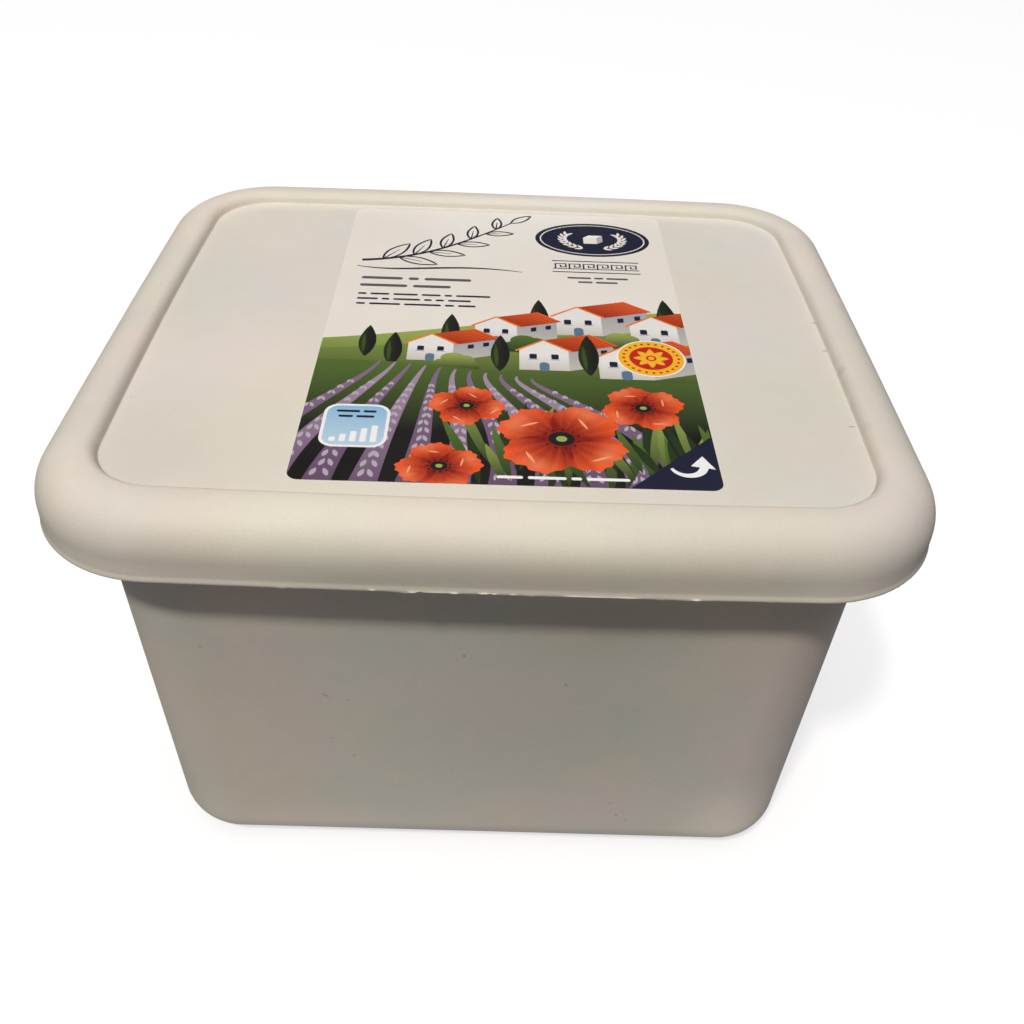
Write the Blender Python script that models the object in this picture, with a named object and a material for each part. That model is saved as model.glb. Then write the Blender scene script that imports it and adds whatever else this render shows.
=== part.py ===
"""A shut food tub: a tapered tub with what it holds, a press-on lid with a bulging rim, and a label.

Metres, +Z up. The origin is in the middle of the base, and the front faces -Y.
The tub and its contents are one solid, because a shut tub can't be seen into.

Every outline of the lid and the tub is a rounded rectangle, given by its inset from the lid's outer edge.
Profiles are lists of (inset, rise), where rise is the height over the lid's flat panel.
"""

import math

import bmesh
import bpy
from mathutils import Vector

# Lid: its outer outline without the bows, which are how far the middles of its sides stand out
LID_WIDTH = 0.1912
LID_DEPTH = 0.1693
LID_CORNER = 0.0288
PANEL_HEIGHT = 0.1210
LID_WALL = 0.0013
FRONT_BOW = 0.00045
SIDE_BOW = 0.00015
PANEL_BOW = 0.00085

# Lid rim: a steep step up from the panel, a crown, and a roll down to the bead along the lower edge
RIM_WIDTH = 0.0139
RIM_RISE = 0.0026
STEP_SLOPE = math.radians(77)
STEP_ROUND = 0.0025
SHOULDER_INSET = 0.0110
ROLL_RADIUS = 0.0099
SKIRT_DROP = 0.0123
BEAD_HEIGHT = 0.0017
BEAD_FLARE = 0.0003
CROWN_INSET = BEAD_FLARE + ROLL_RADIUS

# How far the step is moved in at the front and the sides, and its foot at the back
FRONT_SHIFT = 0.00025
SIDE_SHIFT = 0.0003
BACK_SLACK = 0.00075

# Tub: the rolled flange inside the lid, the neck under it, the tapered wall and the round to the base
FLANGE_DROP = 0.0097
FLANGE_FIT = 0.0006
WALL_INSET = 0.0115
WALL_TAPER = 0.0030
NECK_ROUND = 0.0060
MOUTH_CORNER = 0.0180
BASE_CORNER = 0.0175
BASE_ROUND = 0.0117

# Label: a touch to the right and to the back of the panel's middle, and not quite square to it
LABEL_WIDTH = 0.0900
LABEL_LENGTH = 0.1340
LABEL_CORNER = 0.0026
LABEL_THICK = 0.00025
LABEL_RIGHT = 0.0030
LABEL_BACK = 0.0015
LABEL_TURN = math.radians(0.44)

# Clearance between pieces that touch
GAP = 0.0003

# Fineness
CORNER_STEPS = 10
SIDE_STEPS = 4
SHOULDER_STEPS = 4
ROLL_STEPS = 9
NECK_STEPS = 5
ROUND_STEPS = 6
LABEL_CORNER_STEPS = 6
SMOOTH_ANGLE = math.radians(34)

QUARTER = math.pi / 2


def clear_scene():
    for obj in list(bpy.data.objects):
        bpy.data.objects.remove(obj, do_unlink=True)


def make_material(name, color, roughness):
    material = bpy.data.materials.new(name)
    material.use_nodes = True
    shader = material.node_tree.nodes["Principled BSDF"]
    shader.inputs["Base Color"].default_value = (*color, 1.0)
    shader.inputs["Roughness"].default_value = roughness
    shader.inputs["Metallic"].default_value = 0.0
    material.diffuse_color = (*color, 1.0)
    return material


def rounded_rectangle(width, depth, corner, corner_steps, side_steps=1, bows=(0.0, 0.0)):
    """(x, y) points counterclockwise from the right-hand end of the back right corner.

    The middles of the front and back stand out by the first bow, those of the left and right by the second.
    """
    points = []
    reach_x = width / 2 - corner
    reach_y = depth / 2 - corner
    centres = [(reach_x, reach_y), (-reach_x, reach_y), (-reach_x, -reach_y), (reach_x, -reach_y)]
    for quarter, centre in enumerate(centres):
        start = quarter * QUARTER
        for step in range(corner_steps + 1):
            angle = start + step / corner_steps * QUARTER
            points.append(Vector(centre) + corner * Vector((math.cos(angle), math.sin(angle))))
        outward = Vector((math.cos(start + QUARTER), math.sin(start + QUARTER)))
        side_start = points[-1]
        side_end = Vector(centres[(quarter + 1) % 4]) + corner * outward
        for step in range(1, side_steps):
            share = step / side_steps
            bow = bows[quarter % 2] * 4 * share * (1 - share)
            points.append(side_start.lerp(side_end, share) + outward * bow)
    return points


def ring(inset, rise, corner, bows=(0.0, 0.0)):
    """The lid's outline drawn in by inset, as a level ring of 3-D points."""
    outline = rounded_rectangle(
        LID_WIDTH - 2 * inset, LID_DEPTH - 2 * inset, corner, CORNER_STEPS, SIDE_STEPS, bows
    )
    return [Vector((point.x, point.y, PANEL_HEIGHT + rise)) for point in outline]


def ease(share):
    """The share as a smooth step, held between 0 and 1."""
    share = min(max(share, 0.0), 1.0)
    return share * share * (3 - 2 * share)


def lid_ring(inset, rise):
    """A ring of the lid, whose bow grows from that of its outer edge to that of the panel's edge.

    Within the crown, its front and sides are also moved in, and so is the foot of the step at the back.
    """
    share = min(inset, RIM_WIDTH) / RIM_WIDTH
    bows = [outer + (PANEL_BOW - outer) * share for outer in (FRONT_BOW, SIDE_BOW)]
    points = ring(inset, rise, LID_CORNER - inset, bows)
    within = ease((inset - CROWN_INSET) / (SHOULDER_INSET - CROWN_INSET))
    foot = ease((inset - SHOULDER_INSET) / (RIM_WIDTH - SHOULDER_INSET))
    for point in points:
        back = 0.5 + point.y / LID_DEPTH
        point.x -= SIDE_SHIFT * within * point.x / (LID_WIDTH / 2)
        point.y += FRONT_SHIFT * within * (1 - back) - BACK_SLACK * foot * back
    return points


def roll(top_rise, radius):
    """A rounded edge from the crown outwards and down, as a quarter circle."""
    points = []
    for step in range(ROLL_STEPS + 1):
        angle = step / ROLL_STEPS * QUARTER
        points.append((CROWN_INSET - radius * math.sin(angle), top_rise - radius * (1 - math.cos(angle))))
    return points


def lid_profile():
    """From the panel's edge over the crown and round the lower edge, then back up inside to the underside."""
    points = [(RIM_WIDTH, 0.0)]
    for step in range(SHOULDER_STEPS + 1):
        angle = STEP_SLOPE * (1 - step / SHOULDER_STEPS)
        inset = SHOULDER_INSET + STEP_ROUND * math.sin(angle)
        points.append((inset, RIM_RISE - STEP_ROUND * (1 - math.cos(angle))))
    points += roll(RIM_RISE, ROLL_RADIUS)
    points.append((BEAD_FLARE, BEAD_HEIGHT - SKIRT_DROP))
    points.append((0.0, BEAD_HEIGHT * 0.3 - SKIRT_DROP))
    points.append((0.0, -SKIRT_DROP))
    points.append((BEAD_FLARE + LID_WALL, -SKIRT_DROP))
    points += reversed(roll(RIM_RISE - LID_WALL, ROLL_RADIUS - LID_WALL))
    points.append((SHOULDER_INSET, RIM_RISE - LID_WALL))
    points.append((RIM_WIDTH, -LID_WALL))
    return points


def tub_profile():
    """(inset, rise, corner) from the top inside the lid, round the flange and down the wall to the base."""
    flange = roll(-LID_WALL - GAP, ROLL_RADIUS - LID_WALL - FLANGE_FIT)
    points = [(inset, rise, LID_CORNER - inset) for inset, rise in flange]
    neck_inset = WALL_INSET - NECK_ROUND
    neck_rise = -FLANGE_DROP - NECK_ROUND
    for step in range(NECK_STEPS + 1):
        angle = step / NECK_STEPS * QUARTER
        share = step / NECK_STEPS
        inset = neck_inset + NECK_ROUND * math.sin(angle)
        rise = neck_rise + NECK_ROUND * math.cos(angle)
        corner = (LID_CORNER - neck_inset) * (1 - share) + MOUTH_CORNER * share
        points.append((inset, rise, corner))
    base_inset = WALL_INSET + WALL_TAPER
    for step in range(ROUND_STEPS + 1):
        angle = step / ROUND_STEPS * QUARTER
        draw_in = BASE_ROUND * (1 - math.cos(angle))
        rise = BASE_ROUND * (1 - math.sin(angle)) - PANEL_HEIGHT
        points.append((base_inset + draw_in, rise, BASE_CORNER - draw_in))
    return points


def loft(name, rings, material, collection):
    """A closed body through level rings with equal numbers of points, capped at both ends."""
    bm = bmesh.new()
    loops = [[bm.verts.new(point) for point in points] for points in rings]
    for first, second in zip(loops, loops[1:]):
        for index in range(len(first)):
            after = (index + 1) % len(first)
            bm.faces.new((first[index], first[after], second[after], second[index]))
    bm.faces.new(loops[0])
    bm.faces.new(loops[-1])
    bmesh.ops.recalc_face_normals(bm, faces=bm.faces)
    mesh = bpy.data.meshes.new(name)
    bm.to_mesh(mesh)
    bm.free()
    mesh.materials.append(material)
    mesh.shade_smooth()
    mesh.set_sharp_from_angle(angle=SMOOTH_ANGLE)
    obj = bpy.data.objects.new(name, mesh)
    collection.objects.link(obj)
    return obj


def make_label(material, collection):
    """A thin flat sheet with rounded corners, lying just over the panel."""
    outline = rounded_rectangle(LABEL_WIDTH, LABEL_LENGTH, LABEL_CORNER, LABEL_CORNER_STEPS)
    curve = bpy.data.curves.new("label", "CURVE")
    curve.dimensions = "2D"
    curve.fill_mode = "BOTH"
    curve.extrude = LABEL_THICK / 2
    spline = curve.splines.new("POLY")
    spline.points.add(len(outline) - 1)
    for point, place in zip(spline.points, outline):
        point.co = (place.x, place.y, 0.0, 1.0)
    spline.use_cyclic_u = True
    curve.materials.append(material)
    label = bpy.data.objects.new("label", curve)
    label.location = (LABEL_RIGHT, LABEL_BACK, PANEL_HEIGHT + GAP + LABEL_THICK / 2)
    label.rotation_euler = (0.0, 0.0, LABEL_TURN)
    collection.objects.link(label)
    return label


def main():
    clear_scene()
    pack = bpy.data.collections.new("food_tub")
    bpy.context.scene.collection.children.link(pack)
    tub_plastic = make_material("tub_plastic", (0.74, 0.71, 0.65), 0.42)
    lid_plastic = make_material("lid_plastic", (0.76, 0.73, 0.67), 0.40)
    label_film = make_material("label_film", (0.82, 0.78, 0.70), 0.35)
    loft("tub", [ring(*point) for point in tub_profile()], tub_plastic, pack)
    loft("lid", [lid_ring(*point) for point in lid_profile()], lid_plastic, pack)
    make_label(label_film, pack)


main()
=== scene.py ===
"""Looks for a shut food tub: the tub, its press-on lid with a rolled rim, and the printed label."""

import math

import bmesh
import bpy
import numpy as np
from mathutils import Matrix, Vector
from mathutils.geometry import delaunay_2d_cdt


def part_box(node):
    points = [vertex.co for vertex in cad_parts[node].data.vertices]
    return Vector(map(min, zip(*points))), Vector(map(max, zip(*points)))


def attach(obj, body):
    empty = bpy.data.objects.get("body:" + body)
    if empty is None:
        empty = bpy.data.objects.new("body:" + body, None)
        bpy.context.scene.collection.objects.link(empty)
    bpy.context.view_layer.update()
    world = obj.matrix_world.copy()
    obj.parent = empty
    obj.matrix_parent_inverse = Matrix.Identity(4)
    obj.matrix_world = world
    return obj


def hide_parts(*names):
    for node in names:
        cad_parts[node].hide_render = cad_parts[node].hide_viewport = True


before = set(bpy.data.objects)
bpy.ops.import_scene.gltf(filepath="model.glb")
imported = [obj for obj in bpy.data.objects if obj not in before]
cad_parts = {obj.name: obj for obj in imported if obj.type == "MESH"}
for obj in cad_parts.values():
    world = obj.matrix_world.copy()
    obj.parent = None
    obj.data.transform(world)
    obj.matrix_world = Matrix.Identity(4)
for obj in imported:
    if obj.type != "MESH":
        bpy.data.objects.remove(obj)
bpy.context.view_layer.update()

MM = 0.001
QUARTER = math.pi / 2
FULL_TURN = 2 * math.pi

# Lid, in metres, from the frame's boxes
LID_LOW, LID_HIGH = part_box("lid")
FRONT_BOW = 0.45 * MM
SIDE_BOW = 0.15 * MM
LID_WIDTH = LID_HIGH.x - LID_LOW.x - 2 * SIDE_BOW
LID_DEPTH = LID_HIGH.y - LID_LOW.y - 2 * FRONT_BOW
LID_CORNER = 28.8 * MM
RIM_RISE = 2.6 * MM
PANEL_HEIGHT = LID_HIGH.z - RIM_RISE
LID_WALL = 1.3 * MM
PANEL_BOW = 0.85 * MM
FRONT_SHIFT = 0.25 * MM
SIDE_SHIFT = 0.3 * MM
BACK_SLACK = 0.75 * MM

# Lid rim: a step up from the panel, a crown, and a roll down to the bead along the lower edge
RIM_WIDTH = 13.9 * MM
STEP_SLOPE = math.radians(77)
SHOULDER_INSET = 11.0 * MM
STEP_ROUND = 2.5 * MM
FOOT_ROUND = 0.3 * MM
PANEL_EDGE = 0.8 * MM
ROLL_RADIUS = 9.9 * MM
SKIRT_DROP = PANEL_HEIGHT - LID_LOW.z
BEAD_HEIGHT = 1.7 * MM
BEAD_FLARE = 0.3 * MM
BEAD_EDGE = 0.3 * MM
CROWN_INSET = BEAD_FLARE + ROLL_RADIUS

# Ragged trim along the lower edge: its depth, its burrs, and the stretches that have them
FLASH_DEPTH = 0.18 * MM
BURR_SCALE = 330.0
BURR_SEED = 4.0
STRETCH_SCALE = 22.0
STRETCH_SEED = 9.0

# Trimming burrs, as the middle along the edge, the spread, the drop and the jut outwards, in millimetres
FRONT_BURRS = (
    (-40.0, 0.9, 0.12, 0.10),
    (-22.1, 0.4, -0.20, 0.27),
    (-15.7, 0.7, 0.30, 0.08),
    (-14.3, 0.8, 0.02, 0.32),
    (-12.9, 0.4, -0.20, 0.0),
    (-9.6, 3.0, -0.06, 0.14),
    (-6.0, 0.6, -0.14, 0.36),
    (-0.2, 0.7, -0.28, 0.35),
    (1.0, 0.35, -0.16, 0.0),
    (1.8, 0.4, -0.20, 0.26),
    (5.6, 0.6, -0.12, 0.18),
    (9.0, 0.9, 0.06, 0.08),
    (17.4, 1.6, -0.11, 0.15),
    (21.5, 3.0, -0.10, 0.15),
    (27.8, 3.0, -0.11, 0.16),
    (41.4, 3.8, 0.10, 0.08),
    (41.8, 0.6, -0.26, 0.34),
)

# Nicks in the foot of the step, as the middle along the panel's right side, the spread and the reach
PANEL_NICKS = ((7.6, 0.7, 0.25), (-7.0, 0.8, 0.3), (-16.8, 0.9, 0.3), (-30.0, 1.4, 0.15), (21.0, 1.0, 0.12))

# Tub: the rolled flange inside the lid, the neck under it, the tapered wall and the round to the base
GAP = 0.3 * MM
FLANGE_DROP = 9.7 * MM
FLANGE_FIT = 0.6 * MM
WALL_INSET = 11.5 * MM
WALL_TAPER = 3.0 * MM
NECK_ROUND = 6.0 * MM
MOUTH_CORNER = 18.0 * MM
BASE_CORNER = 17.5 * MM
BASE_ROUND = 11.7 * MM
BASE_EDGE = 0.8 * MM

# Label: its size in millimetres, how far right and back of the middle and how turned it lies, and its film
LABEL_WIDE = 90.0
LABEL_LONG = 134.0
LABEL_CORNER = 2.6
LABEL_RIGHT = 3.0 * MM
LABEL_BACK = 1.5 * MM
LABEL_TURN = math.radians(0.44)
LABEL_LIFT = 0.02 * MM
LABEL_THICK = 0.12 * MM

# Fineness of the meshes
PATH_POINTS = 1500
CORNER_STEPS = 32
SHOULDER_STEPS = 8
FOOT_STEPS = 3
BEAD_STEPS = 5
ROLL_STEPS = 18
INNER_STEPS = 6
NECK_STEPS = 10
ROUND_STEPS = 14
WALL_STEPS = 12
SHARP_ANGLE = math.radians(40)

# Plastic's patterns: their scales, and how much each lightens and darkens the tone
CLOUD_SCALE = 26.0
AGE_SCALE = 19.0
BLOTCH_SCALE = 150.0
SPECKLE_SCALE = 1900.0
GRAIN_SCALE = 1500.0
WAVE_SCALE = 34.0
CLOUD_TONE = 0.09
BLOTCH_TONE = 0.05
SPECKLE_TONE = 0.11
AGED_TINT = (1.0, 1.0, 0.94, 1.0)
MARK_CORE = 0.55

# Scuffs and specks, in millimetres: the middle, the sizes along x, y and z, the turn about y and the tone. On
# the lid, the marks at the right-hand side of the step and its foot are painted shade in its nicks
LID_SPECKS_AND_NICK_SHADES = (
    ((80.7, -39.7, 121), (0.9, 0.38, 1), 0, 0.66),
    ((-80.5, -37.6, 121), (0.35, 0.4, 1), 0, 0.84),
    ((82.1, 7.5, 121.1), (0.7, 0.6, 1), 0, 0.77),
    ((81.95, -6.6, 121.1), (0.75, 0.6, 1), 0, 0.75),
    ((83.4, -18, 122), (1.6, 1.9, 2), 0, 0.89),
    ((83.6, -42.5, 122), (1.5, 2.6, 2), 0, 0.92),
)
TUB_MARKS = (
    ((-36.7, -71.8, 62.5), (1.3, 2, 0.3), 38, 0.66),
    ((-31.5, -71.7, 61), (0.7, 2, 0.25), 25, 0.76),
    ((-36.1, -71.3, 46.4), (0.6, 2, 0.25), 40, 0.78),
    ((-31.1, -71, 39.8), (0.7, 2, 0.25), -60, 0.74),
    ((-63.4, -72.3, 78), (0.4, 2, 0.4), 0, 0.78),
    ((-4.4, -72.3, 77.6), (0.45, 2, 0.45), 0, 0.66),
    ((19.1, -72, 68.7), (0.5, 2, 0.45), 0, 0.66),
    ((33.7, -70.5, 22.4), (1.2, 2.5, 0.25), 8, 0.80),
    ((35.8, -70.3, 17.1), (1, 2.5, 0.25), 70, 0.74),
    ((38.4, -70.3, 14.9), (0.9, 2.5, 0.25), 50, 0.76),
)

# Painted light and shade: soft patches that lighten or darken the colour where light falls unevenly, such as
# a lit back to the rim, a highlight along the bead, shaded front corners on the panel, lit lower corners on
# the tub and a lit back to the label; each is the middle, the sizes and the tone at the middle
RIM_PAINTED_LIGHT_AND_SHADE = (
    ((62, -80, 117), (55, 30, 22), (0.92, 0.93, 0.93)),
    ((90, -44, 118), (32, 95, 26), (0.905, 0.915, 0.965)),
    ((-80, -32, 122), (18, 60, 14), (0.905, 0.90, 0.90)),
    ((-80, 58, 122), (30, 36, 14), (1.05, 1.03, 1.05)),
    ((-62, -81, 117), (24, 22, 16), (0.95, 0.96, 0.97)),
    ((-38, -81, 117), (34, 22, 14), (1.06, 1.05, 1.01)),
    ((0, 71.5, 122), (105, 6, 4), (1.08, 1.08, 1.08)),
    ((35, 80, 122), (70, 16, 10), (1.05, 1.06, 1.09)),
    ((64, -84.5, 109.5), (50, 9, 2.6), (1.14, 1.12, 1.12)),
    ((6, -85, 111.5), (62, 7, 3.6), (0.86, 0.85, 0.86)),
    ((18, -83, 120.2), (52, 6, 3.4), (1.06, 1.06, 1.06)),
    ((76, -82, 112.5), (24, 12, 5), (1.18, 1.14, 1.16)),
    ((-72, -82, 111.5), (24, 12, 4.5), (1.15, 1.11, 1.15)),
    ((-62, -74, 123.6), (28, 12, 6), (0.92, 0.94, 0.94)),
    ((4, -85, 115.6), (66, 8, 2.2), (0.94, 0.95, 0.93)),
    ((-30, -85, 111), (26, 7, 3), (0.92, 0.89, 0.87)),
)
PANEL_PAINTED_LIGHT_AND_SHADE = (
    ((80, -64, 121), (80, 90, 9), (0.90, 0.93, 0.945)),
    ((-80, -70, 121), (52, 54, 9), (0.89, 0.905, 0.90)),
    ((-84, 4, 121), (24, 65, 9), (0.95, 0.97, 0.965)),
    ((62, 64, 121), (45, 48, 9), (1.02, 1.05, 1.07)),
    ((-60, 64, 121), (45, 45, 9), (1.02, 1.05, 1.05)),
)
TUB_PAINTED_LIGHT_AND_SHADE = (
    ((17, -72, 56), (58, 30, 48), (0.875, 0.905, 0.885)),
    ((68, -66, 12), (23, 22, 26), (1.34, 1.30, 1.28)),
    ((-42, -70, 6), (52, 24, 18), (1.18, 1.10, 1.13)),
    ((26, -73, 87), (34, 20, 16), (0.91, 0.90, 0.87)),
    ((-52, -73, 90), (34, 20, 12), (1.06, 1.06, 1.03)),
)
LABEL_PAINTED_LIGHT = (((3, 70, 121), (70, 46, 9), (1.07, 1.09, 1.10)),)

# Camera
VIEW_TARGET = Vector((4.8, -73.95, PANEL_HEIGHT / MM)) * MM
VIEW_DISTANCE = 212.9 * MM
VIEW_DOWN = math.radians(38.992)
VIEW_TURN = math.radians(1.267)
VIEW_ROLL = math.radians(2.658)
SENSOR_MM = 36.0
LENS_MM = 37.79

# Floor: a level disc, then a sweep up to a backdrop
FLOOR_RADIUS = 3.0
LEVEL_SHARE = 0.6
BOWL_HEIGHT = 1.6
BOWL_STEPS = 12
FLOOR_SIDES = 96
FLOOR_GLOW = 0.64

# Key light, low cards that bounce light off the floor, as the middle, the sizes and the power, and the sky
KEY_POWER = 12.9
KEY_SIZE = 0.145
KEY_PLACE = (-0.37, -0.885, 1.515)
KEY_TARGET = (0.0, 0.0, 0.1)
KEY_COLOR = (1.0, 1.0, 0.93)
CARD_HEIGHT = 0.001
CARD_COLOR = (1.0, 0.98, 0.88)
BOUNCE_CARDS = (
    ("front", (-0.03, -0.095), (0.28, 0.055), 0.0085),
    ("right", (0.125, 0.02), (0.06, 0.22), 0.004),
    ("back", (0.0, 0.115), (0.28, 0.06), 0.005),
    ("left", (-0.125, 0.02), (0.06, 0.22), 0.004),
)
SKY_COLOR = (1.0, 0.955, 1.0, 1.0)
SKY_STRENGTHS = ((-1.0, 0.34), (-0.02, 0.0), (0.35, 0.08), (0.7, 0.0), (1.0, 1.96))


# ---------------------------------------------------------------- helpers


class Nodes:
    """A node tree with short calls that add a node and wire its sockets."""

    def __init__(self, tree):
        self.tree = tree

    def add(self, kind, inputs=None, **settings):
        node = self.tree.nodes.new(kind)
        for name, value in settings.items():
            setattr(node, name, value)
        for name, value in (inputs or {}).items():
            self.feed(node.inputs[name], value)
        return node

    def feed(self, socket, value):
        if isinstance(value, bpy.types.NodeSocket):
            self.tree.links.new(value, socket)
        else:
            socket.default_value = value

    def math(self, operation, *values):
        return self.add("ShaderNodeMath", dict(enumerate(values)), operation=operation).outputs[0]

    def scale(self, vector, factor):
        return self.add("ShaderNodeVectorMath", {0: vector, "Scale": factor}, operation="SCALE").outputs[0]

    def remap(self, value, low, high, to_low=0.0, to_high=1.0, smooth=False):
        node = self.add(
            "ShaderNodeMapRange",
            {"Value": value, "From Min": low, "From Max": high, "To Min": to_low, "To Max": to_high},
            interpolation_type="SMOOTHSTEP" if smooth else "LINEAR",
        )
        return node.outputs["Result"]

    def mix(self, share, first, second, blend="MIX"):
        node = self.add("ShaderNodeMix", data_type="RGBA", blend_type=blend)
        for index, value in ((0, share), (6, first), (7, second)):
            self.feed(node.inputs[index], value)
        return node.outputs[2]

    def noise(self, vector, scale, detail=2.0, roughness=0.5, offset=(0.0, 0.0, 0.0)):
        place = self.add("ShaderNodeMapping", {"Vector": vector, "Location": offset})
        node = self.add(
            "ShaderNodeTexNoise",
            {"Vector": place.outputs[0], "Scale": scale, "Detail": detail, "Roughness": roughness},
        )
        return node.outputs["Fac"]


def new_geometry_tree(name, inputs):
    """A tree whose inputs are (name, socket type), and their identifiers by name."""
    tree = bpy.data.node_groups.new(name, "GeometryNodeTree")
    face = tree.interface
    face.new_socket("Geometry", in_out="INPUT", socket_type="NodeSocketGeometry")
    identifiers = {}
    for label, kind in inputs:
        identifiers[label] = face.new_socket(label, in_out="INPUT", socket_type=kind).identifier
    face.new_socket("Geometry", in_out="OUTPUT", socket_type="NodeSocketGeometry")
    return tree, identifiers


def new_object(name, data):
    obj = bpy.data.objects.new(name, data)
    bpy.context.scene.collection.objects.link(obj)
    return obj


def new_mesh(name, bm, material):
    mesh = bpy.data.meshes.new(name)
    bm.to_mesh(mesh)
    bm.free()
    mesh.materials.append(material)
    return mesh


def grow(name, start_mesh, tree, identifiers, values):
    """Runs a geometry tree on a mesh and returns a plain mesh object with no modifier left."""
    obj = new_object(name, start_mesh)
    modifier = obj.modifiers.new(name, "NODES")
    modifier.node_group = tree
    for label, value in values.items():
        modifier[identifiers[label]] = value
    graph = bpy.context.evaluated_depsgraph_get()
    grown = bpy.data.meshes.new_from_object(obj.evaluated_get(graph))
    obj.modifiers.remove(modifier)
    obj.data = grown
    grown.name = name
    return obj


def shares(steps):
    """Even steps from 0 to 1."""
    return [step / steps for step in range(steps + 1)]


def round_angles(count):
    """Even steps round a full turn."""
    return [share * FULL_TURN for share in shares(count)[:-1]]


def loft(name, outlines, material, capped):
    """A mesh of level outlines joined in turn, with faces over those capped."""
    bm = bmesh.new()
    rings = [[bm.verts.new(point) for point in outline] for outline in outlines]
    for first, second in zip(rings, rings[1:]):
        for index in range(len(first)):
            after = (index + 1) % len(first)
            bm.faces.new((first[index], first[after], second[after], second[index]))
    for index in capped:
        bm.faces.new(rings[index])
    return new_mesh(name, bm, material)


# ---------------------------------------------------------------- materials


def new_material(name):
    material = bpy.data.materials.new(name)
    material.use_nodes = True
    nodes = Nodes(material.node_tree)
    shader = material.node_tree.nodes["Principled BSDF"]
    place = nodes.add("ShaderNodeTexCoord").outputs["Object"]
    return material, nodes, shader, place


def patch(nodes, place, middle, size, turn, core):
    """A mask about a point: full within the core's share of its x, y and z sizes, turned about the y axis."""
    here = nodes.add(
        "ShaderNodeMapping",
        {
            "Vector": place,
            "Location": tuple(value * MM for value in middle),
            "Rotation": (0.0, math.radians(turn), 0.0),
            "Scale": tuple(value * MM for value in size),
        },
        vector_type="TEXTURE",
    )
    distance = nodes.add("ShaderNodeVectorMath", {0: here.outputs[0]}, operation="LENGTH").outputs["Value"]
    return nodes.remap(distance, 1.0, core, smooth=True)


def paint_light_and_shade(nodes, place, color, shades):
    """The colour under painted light and shade, each patch (middle, size, tone)."""
    for middle, size, tone in shades:
        there = patch(nodes, place, middle, size, 0.0, 0.0)
        color = nodes.mix(there, color, (*tone, 1.0), "MULTIPLY")
    return color


def uneven(nodes, patterns):
    """A tone about 1 that each (pattern, amount) lightens and darkens."""
    pattern, amount = patterns[0]
    tone = nodes.math("MULTIPLY_ADD", pattern, amount, 1 - amount / 2)
    for pattern, amount in patterns[1:]:
        tone = nodes.math("MULTIPLY_ADD", pattern, amount, nodes.math("SUBTRACT", tone, amount / 2))
    return tone


def emboss(nodes, shader, reliefs):
    """Bumps the surface by each (pattern, height), one over the other."""
    bump = {"Strength": 1.0}
    for pattern, height in reliefs:
        bump.update({"Distance": height, "Height": pattern})
        bump["Normal"] = nodes.add("ShaderNodeBump", bump).outputs[0]
    nodes.feed(shader.inputs["Normal"], bump["Normal"])


def moulded_plastic(name, color, roughness, gloss, grain, waviness, mottle, hue, scuffs_and_nick_shades, shades):
    """Warm white polypropylene: cloudy tone and hue, moulded grain, faint waves, scuffs, and painted light
    and shade in soft patches and in nicks.
    """
    material, nodes, shader, place = new_material(name)
    clouds = nodes.noise(place, CLOUD_SCALE, detail=4.0, roughness=0.55)
    blotches = nodes.noise(place, BLOTCH_SCALE, detail=4.0, roughness=0.65, offset=(1.7, 0.4, 2.2))
    speckle = nodes.noise(place, SPECKLE_SCALE, roughness=0.7, offset=(0.3, 2.0, 0.9))
    aged = nodes.noise(place, AGE_SCALE, detail=3.0, offset=(5.1, 3.3, 0.6))
    warm = (1 + 0.03 * hue, 1 - 0.01 * hue, 1 - 0.012 * hue, 1.0)
    cool = (1 - 0.03 * hue, 1 + 0.01 * hue, 1 + 0.008 * hue, 1.0)
    mixed = nodes.math("ADD", nodes.math("MULTIPLY", clouds, 0.82), nodes.math("MULTIPLY", blotches, 0.18))
    tint = nodes.mix(nodes.remap(mixed, 0.38, 0.62), cool, warm)
    tint = nodes.mix(nodes.remap(aged, 0.38, 0.62), tint, AGED_TINT, "MULTIPLY")
    tint = nodes.mix(1.0, tint, (*color, 1.0), "MULTIPLY")
    # Scuffs and specks; on the lid also painted shade in the nicks at the step's foot
    for middle, size, turn, tone in scuffs_and_nick_shades:
        there = patch(nodes, place, middle, size, turn, MARK_CORE)
        tint = nodes.mix(there, tint, (tone, tone, tone + 0.01, 1.0), "MULTIPLY")
    # Painted light and shade: soft patches that lighten and darken the colour
    tint = paint_light_and_shade(nodes, place, tint, shades)
    patterns = ((clouds, CLOUD_TONE), (blotches, BLOTCH_TONE * mottle), (speckle, SPECKLE_TONE * mottle))
    nodes.feed(shader.inputs["Base Color"], nodes.scale(tint, uneven(nodes, patterns)))
    rough = nodes.remap(blotches, 0.3, 0.7, roughness - 0.05, roughness + 0.06)
    nodes.feed(shader.inputs["Roughness"], rough)
    shader.inputs["IOR"].default_value = 1.49
    shader.inputs["Specular IOR Level"].default_value = gloss
    shader.inputs["Subsurface Weight"].default_value = 0.0
    fine = nodes.noise(place, GRAIN_SCALE, roughness=0.6)
    waves = nodes.noise(place, WAVE_SCALE, detail=1.0, offset=(3.0, 1.0, 5.0))
    emboss(nodes, shader, ((fine, grain), (waves, waviness)))
    return material


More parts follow.
